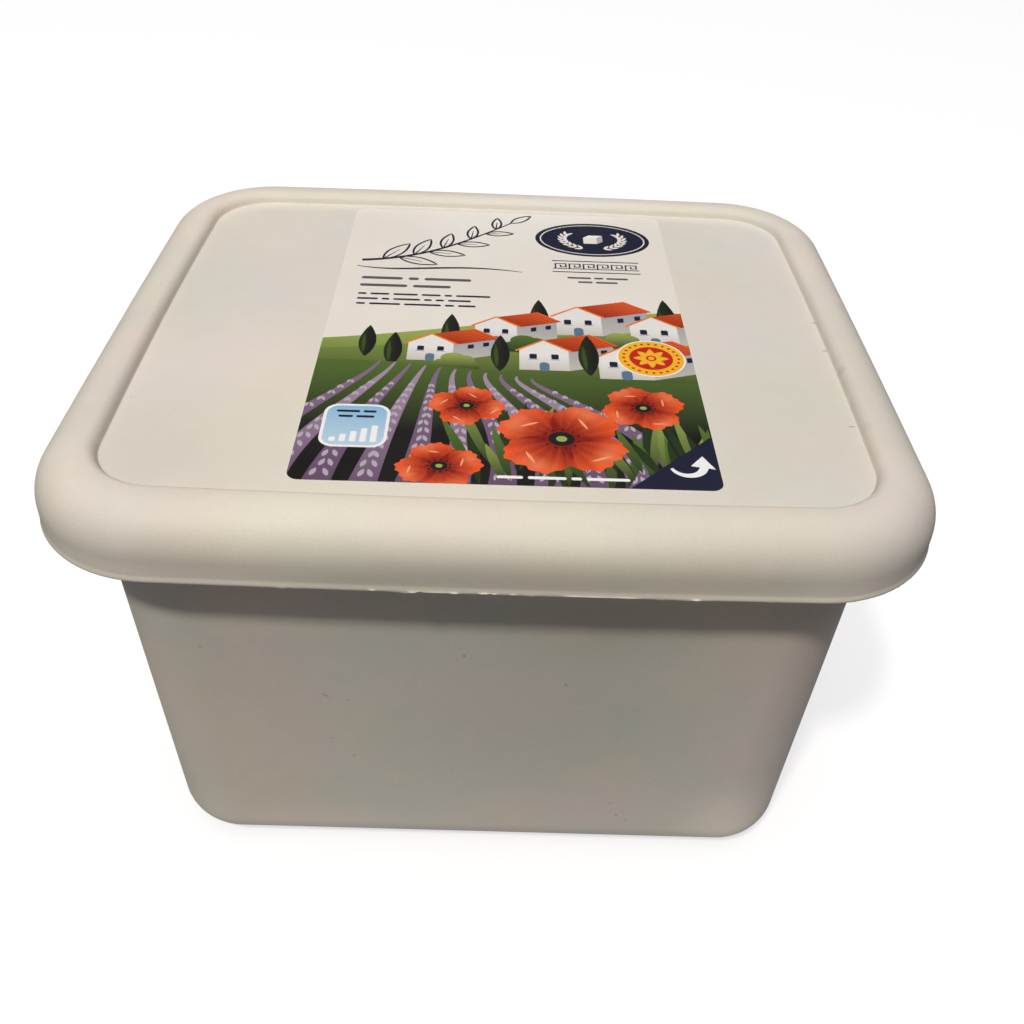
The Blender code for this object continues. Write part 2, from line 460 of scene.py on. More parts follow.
def film_material():
    """Printed film: the ink's colours with a faint mottle, painted light towards its back, a satin sheen and
    hardly any relief.
    """
    material, nodes, shader, place = new_material("label_print_film")
    inks = nodes.add("ShaderNodeAttribute", attribute_name="print").outputs["Color"]
    mottle = nodes.noise(place, scale=900.0)
    clouds = nodes.noise(place, scale=60.0, detail=3.0, offset=(0.7, 0.1, 0.3))
    # Painted light: the film is lighter towards the label's back
    inks = paint_light_and_shade(nodes, place, inks, LABEL_PAINTED_LIGHT)
    tone = uneven(nodes, ((mottle, 0.06), (clouds, 0.05)))
    nodes.feed(shader.inputs["Base Color"], nodes.scale(inks, tone))
    nodes.feed(shader.inputs["Roughness"], nodes.remap(clouds, 0.3, 0.7, 0.3, 0.4))
    shader.inputs["IOR"].default_value = 1.48
    fine = nodes.noise(place, scale=1800.0, detail=1.0)
    waves = nodes.noise(place, scale=55.0, detail=1.0, offset=(2.0, 4.0, 1.0))
    emboss(nodes, shader, ((fine, 0.003 * MM), (waves, 0.02 * MM)))
    return material


# ---------------------------------------------------------------- lid


def roll(top_rise, radius, steps):
    """(inset, rise) of a rounded edge from the crown outwards and down, as a quarter circle."""
    points = []
    for share in shares(steps):
        angle = share * QUARTER
        points.append((CROWN_INSET - radius * math.sin(angle), top_rise - radius * (1 - math.cos(angle))))
    return points


def lid_profile():
    """(inset, rise) from the panel's edge over the crown to the bead, then back inside to the underside."""
    points = [(RIM_WIDTH + PANEL_EDGE, 0.0)]
    for share in shares(FOOT_STEPS):
        angle = STEP_SLOPE * share
        points.append((RIM_WIDTH - FOOT_ROUND * math.sin(angle), FOOT_ROUND * (1 - math.cos(angle))))
    for share in shares(SHOULDER_STEPS):
        angle = STEP_SLOPE * (1 - share)
        inset = SHOULDER_INSET + STEP_ROUND * math.sin(angle)
        points.append((inset, RIM_RISE - STEP_ROUND * (1 - math.cos(angle))))
    points += roll(RIM_RISE, ROLL_RADIUS, ROLL_STEPS)
    for share in shares(BEAD_STEPS):
        flare = BEAD_FLARE * (1 - share * share * (3 - 2 * share))
        points.append((flare, BEAD_EDGE - SKIRT_DROP + (BEAD_HEIGHT - BEAD_EDGE) * (1 - share)))
    points.append((BEAD_EDGE * 0.3, BEAD_EDGE * 0.3 - SKIRT_DROP))
    points.append((BEAD_EDGE, -SKIRT_DROP))
    points.append((BEAD_FLARE + LID_WALL, -SKIRT_DROP))
    points += reversed(roll(RIM_RISE - LID_WALL, ROLL_RADIUS - LID_WALL, INNER_STEPS))
    points.append((SHOULDER_INSET, RIM_RISE - LID_WALL))
    points.append((RIM_WIDTH, -LID_WALL))
    points.append((RIM_WIDTH + PANEL_EDGE, -LID_WALL))
    return points


def polyline_mesh(name, points):
    mesh = bpy.data.meshes.new(name)
    mesh.from_pydata(points, [(i, i + 1) for i in range(len(points) - 1)], [])
    return mesh


def ragged_drop(nodes, given):
    """How far the trimmed edge hangs down at each place, in stretches of small burrs."""
    ragged = nodes.add(
        "ShaderNodeTexNoise",
        {"Scale": given["Burr Scale"], "Detail": 3.0, "Roughness": 0.65, "W": BURR_SEED},
        noise_dimensions="4D",
    ).outputs[0]
    stretch = nodes.add(
        "ShaderNodeTexNoise",
        {"Scale": given["Stretch Scale"], "Detail": 1.0, "W": STRETCH_SEED},
        noise_dimensions="4D",
    ).outputs[0]
    burr = nodes.remap(ragged, 0.52, 0.68, smooth=True)
    burr = nodes.math("MULTIPLY", burr, nodes.remap(stretch, 0.4, 0.56))
    drop = nodes.math("MULTIPLY", burr, nodes.math("MULTIPLY", given["Flash Depth"], -1.0))
    return nodes.add("ShaderNodeCombineXYZ", {"Z": drop}).outputs[0]


def flat_sheets(nodes, given, outline):
    """The panel's top and underside, as level sheets that fill the outline drawn in."""
    normal = nodes.add("GeometryNodeInputNormal").outputs[0]
    inward = nodes.scale(normal, nodes.math("MULTIPLY", given["Panel Inset"], -1.0))
    drawn_in = nodes.add("GeometryNodeSetPosition", {"Geometry": outline, "Offset": inward})
    sheet = nodes.add("GeometryNodeFillCurve", {"Curve": drawn_in.outputs[0]}, mode="NGONS").outputs[0]
    sheets = []
    for height in (given["Panel Height"], nodes.math("SUBTRACT", given["Panel Height"], given["Wall"])):
        up = nodes.add("ShaderNodeCombineXYZ", {"Z": height}).outputs[0]
        moved = nodes.add("GeometryNodeTransform", {"Geometry": sheet, "Translation": up})
        sheets.append(moved.outputs[0])
    return sheets


def lid_tree():
    """Sweeps the rim's profile round a rounded rectangle, and closes the panel and its underside."""
    sizes = ("Width", "Depth", "Corner", "Panel Inset", "Panel Height", "Wall", "Lower Edge", "Flash Depth")
    inputs = [(name, "NodeSocketFloat") for name in (*sizes, "Burr Scale", "Stretch Scale")]
    inputs += [(name, "NodeSocketInt") for name in ("Corner Steps", "Path Points")]
    inputs += [(name, "NodeSocketMaterial") for name in ("Rim Material", "Panel Material")]
    tree, ids = new_geometry_tree("lid sweep", inputs)
    nodes = Nodes(tree)
    given = nodes.add("NodeGroupInput").outputs
    box = nodes.add(
        "GeometryNodeCurvePrimitiveQuadrilateral", {"Width": given["Width"], "Height": given["Depth"]}
    )
    rounded = nodes.add(
        "GeometryNodeFilletCurve",
        {"Curve": box.outputs[0], "Radius": given["Corner"], "Count": given["Corner Steps"]},
        mode="POLY",
    )
    path = nodes.add(
        "GeometryNodeResampleCurve", {"Curve": rounded.outputs[0], "Count": given["Path Points"]}
    )
    level = nodes.add("GeometryNodeSetCurveNormal", {"Curve": path.outputs[0]}, mode="Z_UP").outputs[0]
    profile = nodes.add("GeometryNodeMeshToCurve", {"Mesh": given["Geometry"]})
    swept = nodes.add("GeometryNodeCurveToMesh", {"Curve": level, "Profile Curve": profile.outputs[0]})
    at = nodes.add("ShaderNodeSeparateXYZ", {0: nodes.add("GeometryNodeInputPosition").outputs[0]})
    edged = nodes.add(
        "GeometryNodeSetPosition",
        {
            "Geometry": swept.outputs[0],
            "Selection": nodes.math("LESS_THAN", at.outputs["Z"], given["Lower Edge"]),
            "Offset": ragged_drop(nodes, given),
        },
    )
    joined = nodes.add("GeometryNodeJoinGeometry")
    for piece in (edged.outputs[0], *flat_sheets(nodes, given, level)):
        tree.links.new(piece, joined.inputs[0])
    merged = nodes.add(
        "GeometryNodeMergeByDistance", {"Geometry": joined.outputs[0], "Distance": 0.001 * MM}
    )
    plain = nodes.add("GeometryNodeRealizeInstances", {"Geometry": merged.outputs[0]})
    rim = nodes.add(
        "GeometryNodeSetMaterial", {"Geometry": plain.outputs[0], "Material": given["Rim Material"]}
    )
    off_panel = nodes.math("ABSOLUTE", nodes.math("SUBTRACT", at.outputs["Z"], given["Panel Height"]))
    at_panel = nodes.math("LESS_THAN", off_panel, 0.01 * MM)
    facing = nodes.add("ShaderNodeSeparateXYZ", {0: nodes.add("GeometryNodeInputNormal").outputs[0]})
    level_face = nodes.math("GREATER_THAN", nodes.math("ABSOLUTE", facing.outputs["Z"]), 0.999)
    painted = nodes.add(
        "GeometryNodeSetMaterial",
        {
            "Geometry": rim.outputs[0],
            "Selection": nodes.math("MULTIPLY", level_face, at_panel),
            "Material": given["Panel Material"],
        },
    )
    nodes.add("NodeGroupOutput", {"Geometry": painted.outputs[0]})
    return tree, ids


def read_places(mesh):
    places = np.empty(len(mesh.vertices) * 3, np.float32)
    mesh.vertices.foreach_get("co", places)
    return places.reshape(-1, 3)


def ease(share):
    """Smooth from 0 to 1, and level beyond both."""
    share = np.clip(share, 0.0, 1.0)
    return share * share * (3 - 2 * share)


def bow_sides(mesh):
    """Bows the lid's sides out at their middles, and moves the step and its foot further in."""
    places = read_places(mesh)
    half = np.array([LID_WIDTH, LID_DEPTH]) / 2
    reach = half - LID_CORNER
    flat = places[:, :2].astype(float)
    beyond = np.abs(flat) - reach
    inset = LID_CORNER - np.hypot(*np.maximum(beyond, 0.0).T) - np.minimum(beyond.max(axis=1), 0.0)
    share = np.clip(inset / RIM_WIDTH, 0.0, 1.0)
    for along, across, bow in ((0, 1, FRONT_BOW), (1, 0, SIDE_BOW)):
        on_side = (np.abs(flat[:, along]) < reach[along]) & (np.abs(flat[:, across]) > reach[across])
        stand = bow + (PANEL_BOW - bow) * share
        stand *= 1 - (flat[:, along] / reach[along]) ** 2
        places[:, across] += np.where(on_side, np.sign(flat[:, across]) * stand, 0.0)
    back = np.clip(0.5 + flat[:, 1] / half[1] / 2, 0.0, 1.0)
    within = ease((inset - CROWN_INSET) / (SHOULDER_INSET - CROWN_INSET))
    places[:, 0] -= SIDE_SHIFT * within * flat[:, 0] / half[0]
    places[:, 1] += FRONT_SHIFT * within * (1 - back)
    places[:, 1] -= BACK_SLACK * back * ease((inset - SHOULDER_INSET) / (RIM_WIDTH - SHOULDER_INSET))
    mesh.vertices.foreach_set("co", places.ravel())


def rough_edges(mesh):
    """Burrs that hang and jut from the lower edge's front, and nicks at the panel's right-hand side."""
    places = read_places(mesh)
    x, y, z = (places[:, axis].astype(float) / MM for axis in range(3))
    lowest = (z < (PANEL_HEIGHT - SKIRT_DROP + BEAD_EDGE) / MM) & (y < -LID_DEPTH / 2 / MM + 1.0)
    for middle, spread, drop, jut in FRONT_BURRS:
        there = np.where(lowest, np.exp(-(((x - middle) / spread) ** 2)), 0.0)
        places[:, 1] -= there * jut * MM
        places[:, 2] -= there * drop * MM
    edge = (LID_WIDTH / 2 - RIM_WIDTH) / MM
    at_foot = (x > edge - 0.5) & (x < edge + 0.8) & (np.abs(z - PANEL_HEIGHT / MM) < 0.2)
    for middle, spread, reach in PANEL_NICKS:
        push = reach * np.exp(-(((y - middle) / spread) ** 2))
        places[:, 0] -= np.where(at_foot, push * MM, 0.0)
    mesh.vertices.foreach_set("co", places.ravel())


def finish_mesh(mesh):
    """Merged, with faces outwards and smooth but for the sharp edges."""
    bm = bmesh.new()
    bm.from_mesh(mesh)
    bmesh.ops.remove_doubles(bm, verts=bm.verts, dist=0.0001 * MM)
    bmesh.ops.recalc_face_normals(bm, faces=bm.faces)
    bm.to_mesh(mesh)
    bm.free()
    mesh.shade_smooth()
    mesh.set_sharp_from_angle(angle=SHARP_ANGLE)


def make_lid(rim_plastic, panel_plastic):
    # Curve to Mesh turns a profile's X outwards and its Y downwards
    points = [(-inset, -(PANEL_HEIGHT + rise), 0.0) for inset, rise in lid_profile()]
    tree, ids = lid_tree()
    values = {
        "Width": LID_WIDTH,
        "Depth": LID_DEPTH,
        "Corner": LID_CORNER,
        "Corner Steps": CORNER_STEPS,
        "Path Points": PATH_POINTS,
        "Panel Inset": RIM_WIDTH + PANEL_EDGE,
        "Panel Height": PANEL_HEIGHT,
        "Wall": LID_WALL,
        "Lower Edge": PANEL_HEIGHT - SKIRT_DROP + BEAD_EDGE * 0.9,
        "Flash Depth": FLASH_DEPTH,
        "Burr Scale": BURR_SCALE,
        "Stretch Scale": STRETCH_SCALE,
        "Rim Material": rim_plastic,
        "Panel Material": panel_plastic,
    }
    lid = grow("lid_shell", polyline_mesh("lid profile", points), tree, ids, values)
    bow_sides(lid.data)
    rough_edges(lid.data)
    finish_mesh(lid.data)
    return lid


# ---------------------------------------------------------------- tub


def rounded_rectangle(width, depth, corner, height, steps=CORNER_STEPS):
    """A level ring of points, counterclockwise, with arcs at the corners."""
    points = []
    reach_x = width / 2 - corner
    reach_y = depth / 2 - corner
    centres = [(reach_x, reach_y), (-reach_x, reach_y), (-reach_x, -reach_y), (reach_x, -reach_y)]
    for quarter, (x, y) in enumerate(centres):
        for share in shares(steps):
            angle = (quarter + share) * QUARTER
            points.append((x + corner * math.cos(angle), y + corner * math.sin(angle), height))
    return points


def tub_profile():
    """(inset, rise, corner) from the top inside the lid, round the flange and down the wall to the base."""
    flange = roll(-LID_WALL - GAP, ROLL_RADIUS - LID_WALL - FLANGE_FIT, ROLL_STEPS)
    points = [(inset, rise, LID_CORNER - inset) for inset, rise in flange]
    neck_inset = WALL_INSET - NECK_ROUND
    neck_rise = -FLANGE_DROP - NECK_ROUND
    for share in shares(NECK_STEPS):
        inset = neck_inset + NECK_ROUND * math.sin(share * QUARTER)
        rise = neck_rise + NECK_ROUND * math.cos(share * QUARTER)
        corner = (LID_CORNER - neck_inset) * (1 - share) + MOUTH_CORNER * share
        points.append((inset, rise, corner))
    wall_foot = BASE_ROUND - PANEL_HEIGHT
    for share in shares(WALL_STEPS)[1:-1]:
        rise = neck_rise + (wall_foot - neck_rise) * share
        corner = MOUTH_CORNER + (BASE_CORNER - MOUTH_CORNER) * share
        points.append((WALL_INSET + WALL_TAPER * share, rise, corner))
    for share in shares(ROUND_STEPS):
        angle = share * QUARTER
        draw_in = BASE_ROUND * (1 - math.cos(angle))
        rise = BASE_ROUND * (1 - math.sin(angle)) - PANEL_HEIGHT
        points.append((WALL_INSET + WALL_TAPER + draw_in, rise, BASE_CORNER - draw_in))
    inset, rise, corner = points[-1]
    points.append((inset + BASE_EDGE, rise, corner - BASE_EDGE))
    return points


def make_tub(plastic):
    outlines = []
    for inset, rise, corner in tub_profile():
        wide, deep = LID_WIDTH - 2 * inset, LID_DEPTH - 2 * inset
        outlines.append(rounded_rectangle(wide, deep, corner, PANEL_HEIGHT + rise))
    mesh = loft("tub_body", outlines, plastic, capped=(0, -1))
    finish_mesh(mesh)
    return new_object("tub_body", mesh)


# ---------------------------------------------------------------- label print

PRINT_SEED = 7
INK_GAIN = 1.14

# Points between which the picture's colours fade: their spacing, and that of their rows as a share of it
PRINT_GRAIN = 0.9
GRAIN_ROW = 0.87
PICTURE_TOP = 24.0

# What runs off the label ends here, a millimetre past its sides and its front
PAST_SIDE = LABEL_WIDE / 2 + 1
PAST_FRONT = -LABEL_LONG / 2 - 1

# Triangulation: keep what lies within the shapes, merge points this close, and read colours this far in
INSIDE_ONLY = 1
CUT_MERGE = 0.001
CORNER_PULL = 0.02


def ink(red, green, blue):
    """A printed colour, given as its screen shade."""
    shades = (red / 255.0, green / 255.0, blue / 255.0)
    return tuple(INK_GAIN * (s / 12.92 if s < 0.04045 else ((s + 0.055) / 1.055) ** 2.4) for s in shades)


CREAM = ink(229, 223, 212)
WHITE = ink(236, 236, 232)
NAVY = ink(27, 30, 52)
GREY = ink(92, 88, 90)
SKY_BLUE = ink(138, 183, 212)
GOLD = ink(238, 178, 40)
SEAL_RED = ink(190, 34, 24)
LIME = ink(150, 164, 84)
LEAF = ink(84, 108, 46)
DEEP_LEAF = ink(36, 52, 24)
NIGHT = ink(26, 24, 22)
LILAC = ink(158, 136, 158)
PLUM = ink(96, 72, 98)
WALL_LIT = ink(226, 224, 220)
WALL_SHADE = ink(164, 164, 168)
WALL_FOOT = ink(190, 184, 170)
ROOF_LIT = ink(226, 92, 38)
ROOF_SHADE = ink(150, 44, 20)
PETAL_EDGE = ink(232, 88, 40)
PETAL_HEART = ink(128, 22, 10)
PETAL_GLOSS = ink(248, 172, 124)


def blend(first, second, share):
    share = min(max(share, 0.0), 1.0)
    return tuple(a + (b - a) * share for a, b in zip(first, second))


def fade(first, second, start, end):
    """From the first colour at one point to the second at another."""
    along = (end[0] - start[0], end[1] - start[1])
    length = along[0] ** 2 + along[1] ** 2
    return lambda u, v: blend(
        first, second, ((u - start[0]) * along[0] + (v - start[1]) * along[1]) / length
    )


def petal_paint(u0, v0, reach, facing):
    """Dark at the heart and where the next petal shades it, glowing towards the rim, with ribs."""

    def paint(u, v):
        share = math.hypot(u - u0, v - v0) / reach
        swing = math.remainder(math.atan2(v - v0, u - u0) - facing, FULL_TURN)
        ribs = 0.09 * math.sin(swing * 19 + facing) + 0.05 * math.sin(swing * 41)
        edge = max(0.0, abs(swing) - 0.55) * 0.75
        shade = blend(PETAL_HEART, PETAL_EDGE, share * 1.35 - 0.28 + ribs - edge)
        glow = max(0.0, 1 - abs(share - 0.78) / 0.24) * max(0.0, 1 - abs(swing - 0.15) / 0.5)
        return blend(shade, PETAL_GLOSS, 0.34 * glow)

    return paint


def around(u, v, wide, tall, angle):
    """The point at an angle on an oval about a middle point."""
    return (u + wide * math.cos(angle), v + tall * math.sin(angle))


def oval(u, v, wide, tall, count=48):
    return [around(u, v, wide, tall, angle) for angle in round_angles(count)]


def disc(u, v, radius, count=48):
    return oval(u, v, radius, radius, count)


def card(u, v, wide, tall, corner, steps=5):
    """A rounded rectangle about a middle point."""
    outline = rounded_rectangle(wide, tall, corner, 0.0, steps)
    return [(u + x, v + y) for x, y, height in outline]


def leaf_points(u, v, length, wide, turn, count=12):
    """A pointed leaf from its stalk end."""
    sides = [[], []]
    for share in shares(count):
        half = 0.0
        if 0 < share < 1:
            half = wide / 2 * math.sin(share * math.pi) ** 0.8 * (1.15 - 0.3 * share)
        for side, sign in zip(sides, (1, -1)):
            x, y = length * share, sign * half
            across = u + x * math.cos(turn) - y * math.sin(turn)
            side.append((across, v + x * math.sin(turn) + y * math.cos(turn)))
    return sides[1] + sides[0][-2:0:-1]


def curve_points(ends, count):
    """A cubic curve from four control points."""
    points = []
    for t in shares(count):
        weights = ((1 - t) ** 3, 3 * t * (1 - t) ** 2, 3 * t * t * (1 - t), t**3)
        points.append(tuple(sum(w * end[axis] for w, end in zip(weights, ends)) for axis in (0, 1)))
    return points


def ribbon(points, widths, closed=False):
    """Quads along a line, as wide as the widths at its start, middle and end."""
    rails = []
    last = len(points) - 1
    for index, (u, v) in enumerate(points):
        before = points[index - 1] if closed or index else points[0]
        after = points[(index + 1) % len(points)] if closed or index < last else points[last]
        du, dv = after[0] - before[0], after[1] - before[1]
        size = math.hypot(du, dv) or 1.0
        share = index / last
        width = widths[0] * (1 - share) ** 2 + 2 * widths[1] * share * (1 - share) + widths[2] * share**2
        out_u, out_v = dv / size * width / 2, du / size * width / 2
        rails.append(((u - out_u, v + out_v), (u + out_u, v - out_v)))
    pairs = list(zip(rails, rails[1:] + ([rails[0]] if closed else [])))
    return [[a[1], b[1], b[0], a[0]] for a, b in pairs]


class Print:
    """Shapes laid over each other on the label, in millimetres from its middle."""

    def __init__(self):
        self.polygons = []
        self.paints = []
        self.random = np.random.default_rng(PRINT_SEED)

    def lay(self, paint, *polygons):
        self.paints.append(paint)
        for points in polygons:
            self.polygons.append((points, len(self.paints) - 1))

    def fill(self, color, *polygons):
        self.lay(lambda u, v: color, *polygons)

    def bars(self, u, v, lengths, tall, color, space):
        """A line of print as plain bars."""
        shapes = []
        for length in lengths:
            shapes.append(card(u + length / 2, v, length, tall, tall * 0.42, 3))
            u += length + space
        self.fill(color, *shapes)

    def grain_places(self):
        """Points spread over the picture, so that its colours can fade from one to the next."""
        places = []
        row = 0
        v = -LABEL_LONG / 2 + PRINT_GRAIN
        while v < PICTURE_TOP:
            u = -LABEL_WIDE / 2 + PRINT_GRAIN * (1.0 + 0.5 * (row % 2))
            while u < LABEL_WIDE / 2 - PRINT_GRAIN / 2:
                places.append((u, v))
                u += PRINT_GRAIN
            v += PRINT_GRAIN * GRAIN_ROW
            row += 1
        return places

    def flat_mesh(self):
        """The flat top, cut along every shape's edge, with the topmost shape's colours at its corners."""
        places, faces = [], []
        for points, owner in self.polygons:
            faces.append(list(range(len(places), len(places) + len(points))))
            places.extend(points)
        places += self.grain_places()
        points = [Vector(place) for place in places]
        found = delaunay_2d_cdt(points, [], faces, INSIDE_ONLY, CUT_MERGE, True)
        corners, triangles, sources = found[0], found[2], found[5]
        owners = [owner for points, owner in self.polygons]
        kept, colors = [], []
        for triangle, source in zip(triangles, sources):
            if 0 not in source:
                continue
            paint = self.paints[max(owners[index] for index in source)]
            kept.append(triangle)
            middle = [sum(corners[i][axis] for i in triangle) / 3 for axis in (0, 1)]
            for i in triangle:
                pairs = zip(corners[i], middle)
                colors.append(paint(*[end * (1 - CORNER_PULL) + mid * CORNER_PULL for end, mid in pairs]))
        return corners, kept, colors


def house(art, u, v, wide, tall, gable, deep):
    """A white house seen from its gable end, with a tiled roof that slopes away to the right."""
    lift = deep * 0.32
    right, top = u + wide, v + tall
    ridge = (u + wide / 2, top + gable)
    side = [(right, v), (right + deep, v + lift), (right + deep, v + lift + tall), (right, top)]
    art.lay(fade(WALL_FOOT, WALL_SHADE, (u, v), (u, top)), side)
    front = [(u, v), (right, v), (right, top), ridge, (u, top)]
    art.lay(fade(WALL_FOOT, WALL_LIT, (u, v - 1), (u + 1, v + tall * 0.8)), front)
    eave = (right + 0.9, top - 0.7)
    far = deep + 0.6
    roof = [ridge, eave, (eave[0] + far, eave[1] + lift), (ridge[0] + far, ridge[1] + lift)]
    art.lay(fade(ROOF_SHADE, ROOF_LIT, eave, (ridge[0] + deep, ridge[1] + lift)), roof)
    rows = max(5, int(deep / 1.1))
    tiles = []
    for row in range(1, rows):
        share = row / rows
        line = [(end[0] + far * share, end[1] + lift * share) for end in (ridge, eave)]
        tiles += ribbon(line, (0.22, 0.22, 0.22))
    art.lay(fade(ROOF_SHADE, blend(ROOF_SHADE, ROOF_LIT, 0.6), eave, ridge), *tiles)
    near = [(u - 0.9, top - 0.7), (ridge[0], ridge[1] + 0.1), eave]
    art.fill(blend(ROOF_LIT, GOLD, 0.25), *ribbon(near, (0.7, 0.7, 0.7)))
    for share in (0.28, 0.72):
        pane_u, pane_v = u + wide * share, v + tall * 0.66
        art.fill(NAVY, card(pane_u, pane_v, wide * 0.15, tall * 0.24, 0.3, 2))
        art.fill(WALL_SHADE, card(pane_u, pane_v - tall * 0.15, wide * 0.21, 0.35, 0.1, 1))
    door = card(u + wide / 2, v + tall * 0.17, wide * 0.2, tall * 0.42, wide * 0.09, 4)
    art.fill(blend(NAVY, SKY_BLUE, 0.35), door)
    for share in (0.35, 0.72):
        left, foot = right + deep * share, v + lift * share + tall * 0.55
        over, sill, height = left + wide * 0.13, foot + 0.4, tall * 0.22
        art.fill(NAVY, [(left, foot), (over, sill), (over, sill + height), (left, foot + height)])


def cypress(art, u, v, tall, wide):
    """A dark flame-shaped tree."""
    shade = fade(NIGHT, DEEP_LEAF, (u + wide * 0.2, v), (u - wide * 0.5, v))
    art.lay(shade, leaf_points(u, v, tall, wide, QUARTER, 16))
    glow = leaf_points(u - wide * 0.16, v + tall * 0.12, tall * 0.62, wide * 0.22, QUARTER + 0.04, 10)
    art.fill(blend(DEEP_LEAF, LEAF, 0.35), glow)


def bush(art, u, v, size, color):
    """A round-headed shrub of overlapping tufts."""
    tufts = []
    for step in range(7):
        angle = step * 2.4
        reach = size * 0.42 * (step / 6) ** 0.5
        tuft_u, tuft_v = u + reach * math.cos(angle) * 1.4, v + reach * math.sin(angle)
        tufts.append(oval(tuft_u, tuft_v, size * 0.5, size * 0.4, 14))
    for tuft in reversed(tufts):
        across = tuft[0][0]
        art.lay(fade(DEEP_LEAF, color, (across, v - size * 0.5), (across, v + size * 0.7)), tuft)


def poppy(art, u, v, reach, spin):
    """Four crinkled petals round a dark heart."""
    for petal in (1, 3, 0, 2):
        facing = spin + petal * QUARTER
        points = []
        for step in range(29):
            share = step / 28 * 2 - 1
            crinkle = 1 + 0.035 * math.sin(step * 1.9 + petal) + 0.03 * math.sin(step * 0.7 + spin)
            far = reach * crinkle * (1 - 0.55 * abs(share) ** 3.2)
            points.append(around(u, v, far, far * 0.9, facing + share * 1.02))
        points.append(around(u, v, -0.12 * reach, -0.12 * reach, facing))
        art.lay(petal_paint(u, v, reach, facing), points)
        start = reach * (0.5 + 0.08 * petal)
        foot = around(u, v, start, start * 0.9, facing - 0.3)
        gloss = leaf_points(*foot, reach * 0.34, reach * 0.05, facing + 1.1, 8)
        art.fill(blend(PETAL_EDGE, PETAL_GLOSS, 0.75), gloss)
    art.fill(NIGHT, oval(u, v, reach * 0.2, reach * 0.18, 20))
    dots = [around(u, v, reach * 0.27, reach * 0.24, angle + spin) for angle in round_angles(11)]
    art.fill(NIGHT, *[oval(*dot, 0.32, 0.3, 8) for dot in dots])
    art.fill(LIME, oval(u, v, reach * 0.085, reach * 0.075, 12))


def hill(art, crest, top, foot, drop):
    """A field of colour under a crest line that runs from left to right."""
    points = curve_points(crest, 30)
    level = crest[1][1]
    below = [(points[0][0], PAST_FRONT), (points[-1][0], PAST_FRONT)]
    art.lay(fade(top, foot, (0, level), (0, level - drop)), below + points[::-1])


def lay_picture(art):
    """White houses on a green hillside, with cypresses and shrubs among them."""
    hill(art, ((-PAST_SIDE, -10), (-18, -6), (10, 6), (PAST_SIDE, 8)), LIME, LEAF, 16)
    near = ((-PAST_SIDE, -15), (-20, -12), (14, -2), (PAST_SIDE, -4))
    hill(art, near, blend(LIME, LEAF, 0.6), DEEP_LEAF, 20)
    for place in ((-14, -13, 17, 4.6), (8.2, -8, 21, 5.2), (41, -9, 24, 5.6), (-34, -18, 15, 4.2)):
        cypress(art, *place)
    house(art, 12, -5, 12, 10, 4.5, 12)
    house(art, -8, -10, 10.5, 9, 4, 10)
    house(art, 31, -9, 12, 10, 4.5, 11)
    bush(art, 28.5, -8, 6, LIME)
    bush(art, 5, -11, 6.5, LEAF)
    house(art, 3, -22, 12, 9.5, 4.5, 11)
    house(art, 22, -25, 13, 10, 4.8, 12)
    house(art, -24, -19, 11, 8.5, 4, 10)
    bush(art, -12, -20, 6, LIME)
    for place in ((19.8, -24, 19, 5), (-1.6, -23, 17, 4.6), (-27.5, -22, 16, 4.4)):
        cypress(art, *place)


def lay_fields(art):
    """Rows of lavender that widen towards the front."""
    hill(art, ((-PAST_SIDE, -20), (-20, -18), (6, -27), (PAST_SIDE, -26)), LEAF, NIGHT, 30)
    for row in range(11):
        foot = -58 + row * 9.5
        start = (-30 + row * 3.6, -19.6 - row * 0.62)
        line = curve_points((start, (start[0] - 3, -30), (foot + 3, -48), (foot, -69)), 18)
        color = LILAC if row % 2 else blend(LILAC, PLUM, 0.6)
        art.lay(fade(color, PLUM, (0, -28), (0, -72)), *ribbon(line, (0.5, 2.4, 6.2)))
        sprigs = []
        for index in range(5, 18):
            length, wide = 0.9 + index * 0.12, 0.5 + index * 0.04
            for side in (-1, 1):
                spread = 0.25 + index * 0.085
                u = line[index][0] + side * spread * (0.6 + 0.5 * art.random.random())
                sprigs.append(leaf_points(u, line[index][1], length, wide, QUARTER + side * 0.35, 5))
        art.fill(blend(LILAC, WHITE, 0.22), *sprigs)


def lay_flowers(art):
    """Blades of grass, then poppies over them."""
    blades = []
    for index in range(46):
        u = -6 + index * 1.15 + art.random.uniform(-0.8, 0.8)
        base = art.random.uniform(-69, -60)
        length = art.random.uniform(13, 27)
        blades.append((u, base, length, art.random.uniform(-0.45, 0.45)))
    for index, (u, base, length, lean) in enumerate(blades):
        tone = (LEAF, DEEP_LEAF, blend(LEAF, LIME, 0.6))[index % 3]
        blade = leaf_points(u, base, length, 2.3, QUARTER + lean, 10)
        art.lay(fade(DEEP_LEAF, tone, (u, base), (u, base + length * 0.8)), blade)
    poppy(art, 31, -37, 9.5, 0.5)
    poppy(art, -9, -38, 8.5, 1.3)
    poppy(art, 12, -50, 14.5, 0.9)
    poppy(art, -14, -61, 9.0, 0.3)


def lay_medallion(art, u, v):
    """A gold seal with a ring of dots and an eight-petalled flower."""
    art.fill(WHITE, disc(u, v, 8.4))
    art.fill(GOLD, disc(u, v, 8.0))
    art.fill(SEAL_RED, *[disc(*around(u, v, 6.7, 6.7, angle), 0.42, 8) for angle in round_angles(24)])
    art.fill(SEAL_RED, disc(u, v, 5.3))
    art.fill(GOLD, *[leaf_points(u, v, 4.4, 1.9, angle, 8) for angle in round_angles(8)])
    art.fill(SEAL_RED, disc(u, v, 1.3, 16))
    art.fill(GOLD, disc(u, v, 0.8, 16))


